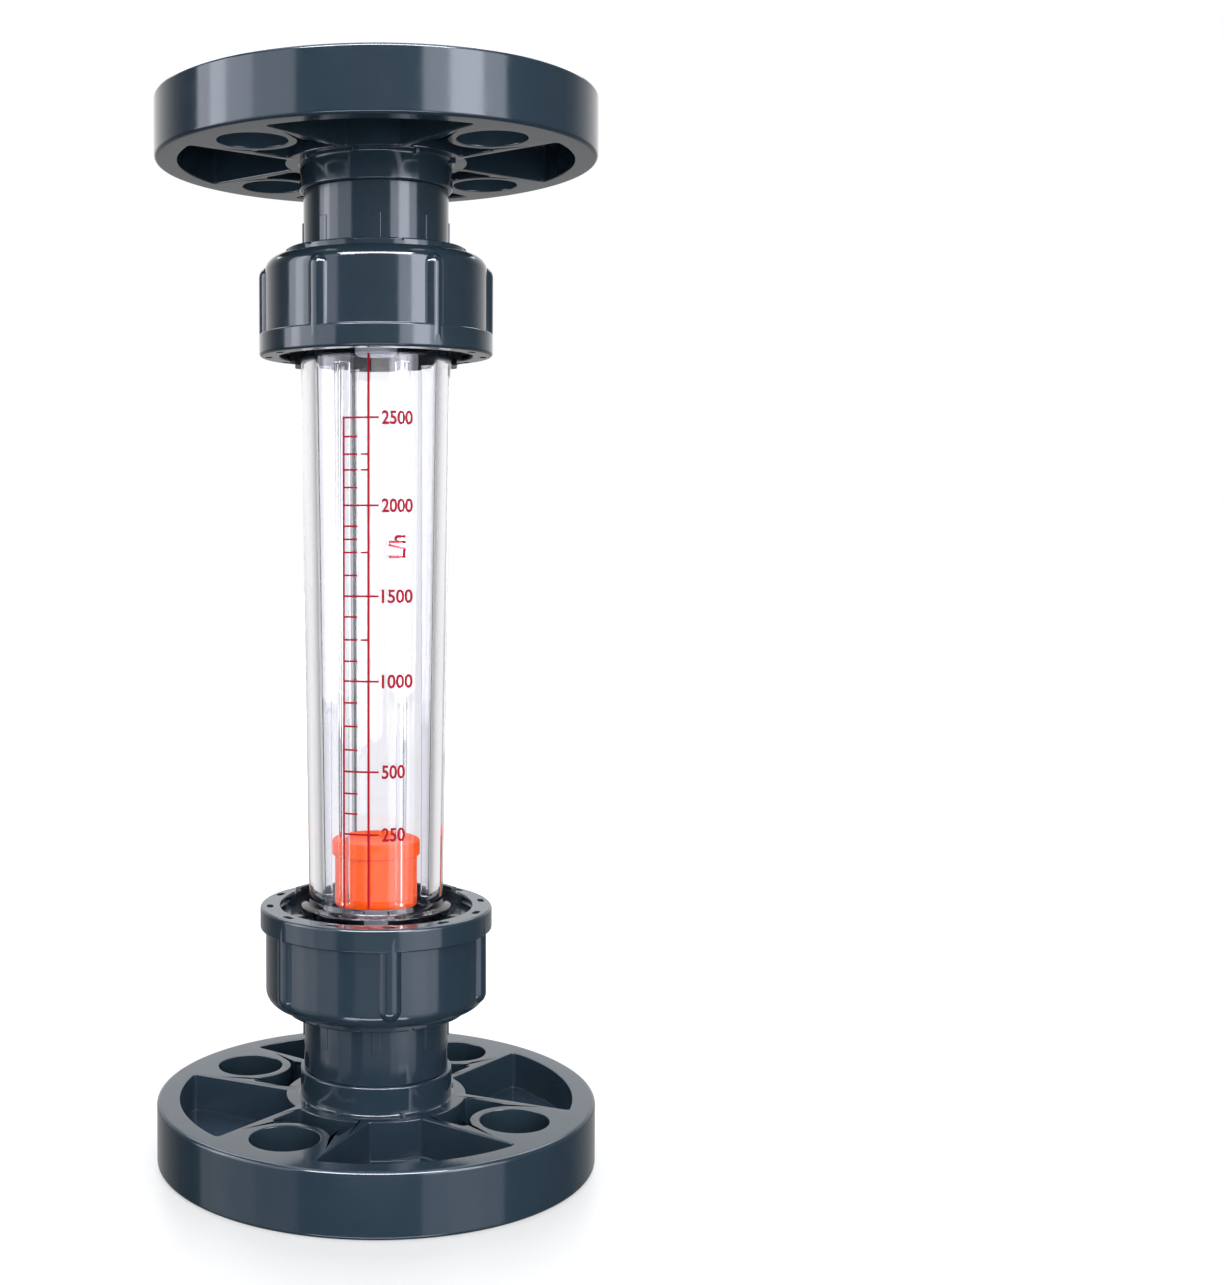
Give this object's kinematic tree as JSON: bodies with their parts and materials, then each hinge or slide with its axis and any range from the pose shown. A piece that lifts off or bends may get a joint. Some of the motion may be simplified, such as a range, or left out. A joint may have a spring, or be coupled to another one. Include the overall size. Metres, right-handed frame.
{
  "type": "rotameter",
  "caption": "Upright flanged rotameter with a tapered clear tube, a float, ribbed union nuts and ribbed plastic flanges.",
  "frame": {"origin": "centre of the lower flange's mating face", "axes": "+Z along the tube in the flow direction; the scale and the front face -Y"},
  "size_m": [0.125, 0.125, 0.3],
  "materials": {
    "grey_upvc": "dark blue-grey moulded UPVC, glossy, fine mould texture",
    "dark_upvc": "darker moulded UPVC of the threaded retaining rings",
    "black_rubber": "black EPDM rubber",
    "stop_plastic": "light grey moulded plastic of the float stops",
    "clear_tube": "water-clear moulded plastic with a red printed scale",
    "orange_float": "signal orange moulded plastic",
    "ballast_steel": "turned steel, sealed inside the float"
  },
  "bodies": {
    "root": {"bottom_flange": "grey_upvc", "top_flange": "grey_upvc", "bottom_union_end": "grey_upvc", "top_union_end": "grey_upvc", "bottom_thread_ring_front": "dark_upvc", "bottom_thread_ring_back": "dark_upvc", "top_thread_ring_front": "dark_upvc", "top_thread_ring_back": "dark_upvc", "bottom_seal_ring": "black_rubber", "top_seal_ring": "black_rubber", "bottom_float_stop": "stop_plastic", "top_float_stop": "stop_plastic", "bottom_stop_bumper": "black_rubber", "top_stop_bumper": "black_rubber", "metering_tube": "clear_tube"},
    "bottom_nut": {"bottom_union_nut": "grey_upvc"},
    "top_nut": {"top_union_nut": "grey_upvc"},
    "float": {"float_body": "orange_float", "float_cap": "orange_float", "float_weight": "ballast_steel"}
  },
  "joints": [
    {"name": "bottom_nut_turn", "type": "hinge", "parent": "root", "child": "bottom_nut", "pos_m": [0, 0, 0.057], "axis": [0, 0, -1], "range_deg": [0, 1200]},
    {"name": "top_nut_turn", "type": "hinge", "parent": "root", "child": "top_nut", "pos_m": [0, 0, 0.243], "axis": [0, 0, 1], "range_deg": [0, 1200]},
    {"name": "float_rise", "type": "slide", "parent": "root", "child": "float", "axis": [0, 0, 1], "range_m": [0, 0.1369]}
  ]
}
